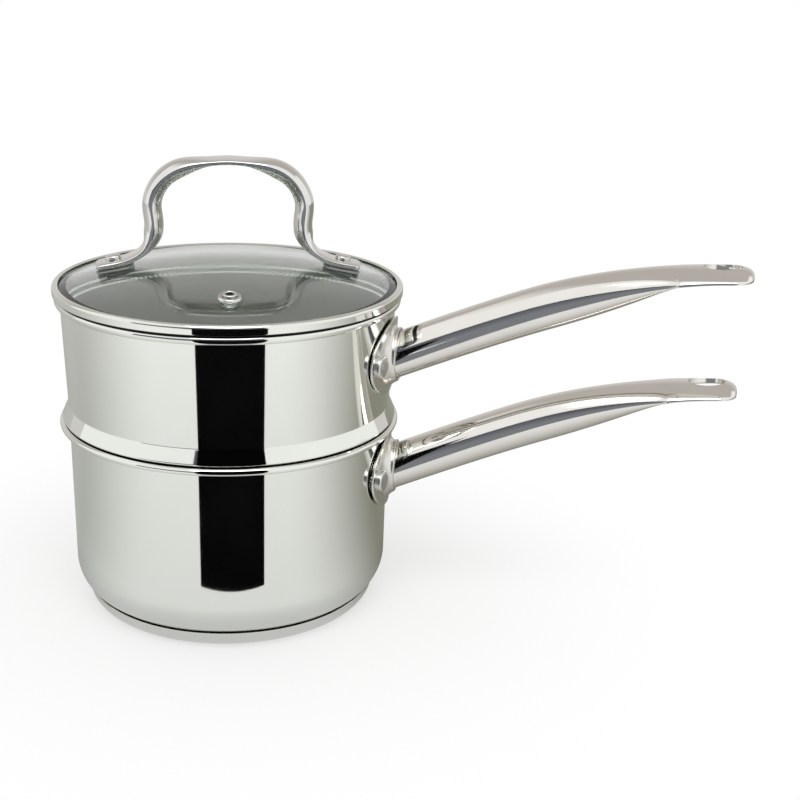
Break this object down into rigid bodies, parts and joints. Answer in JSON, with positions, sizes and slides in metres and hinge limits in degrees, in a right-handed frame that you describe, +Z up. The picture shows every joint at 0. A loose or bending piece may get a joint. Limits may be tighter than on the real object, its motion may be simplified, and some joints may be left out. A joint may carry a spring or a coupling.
{
  "type": "steamer pot",
  "caption": "Stainless stovetop steamer: round saucepan, perforated steamer insert seated in its rim, domed glass lid with a bail handle, and long flattened-tube handles.",
  "frame": {"origin": "middle of the flat underside of the saucepan's base", "axes": "+Z up along the pot's axis, +X along the saucepan's handle, away from the pot"},
  "size_m": [0.3392, 0.1728, 0.228],
  "materials": {
    "polished_steel": "mirror-polished stainless steel",
    "satin_steel": "satin stainless steel",
    "aluminium_core": "bare pressed aluminium",
    "lid_glass": "clear tempered glass, faint grey-green",
    "dark_silicone": "matte moulded silicone",
    "clear_silicone": "translucent moulded silicone"
  },
  "bodies": {
    "saucepan": {"saucepan_body": "polished_steel", "saucepan_base_core": "aluminium_core", "saucepan_base_cap": "polished_steel", "saucepan_handle_bracket": "polished_steel", "saucepan_handle": "satin_steel", "saucepan_rivet_front": "polished_steel", "saucepan_rivet_back": "polished_steel"},
    "steamer_insert": {"steamer_body": "polished_steel", "steamer_handle_bracket": "polished_steel", "steamer_handle": "satin_steel", "steamer_rivet_front": "polished_steel", "steamer_rivet_back": "polished_steel"},
    "lid": {"lid_glass": "lid_glass", "lid_rim_band": "polished_steel", "lid_rim_seal": "dark_silicone", "lid_handle": "satin_steel", "lid_handle_rivet_left": "polished_steel", "lid_handle_rivet_right": "polished_steel", "lid_handle_pad_left": "clear_silicone", "lid_handle_pad_right": "clear_silicone", "lid_handle_seal_left": "clear_silicone", "lid_handle_seal_right": "clear_silicone", "lid_handle_washer_left": "polished_steel", "lid_handle_washer_right": "polished_steel", "vent_eyelet": "polished_steel", "vent_washer": "polished_steel"}
  },
  "joints": [
    {"name": "steamer_lift", "type": "slide", "parent": "saucepan", "child": "steamer_insert", "axis": [0, 0, 1], "range_m": [0, 0.12]},
    {"name": "lid_lift", "type": "slide", "parent": "steamer_insert", "child": "lid", "axis": [0, 0, 1], "range_m": [0, 0.12]}
  ]
}
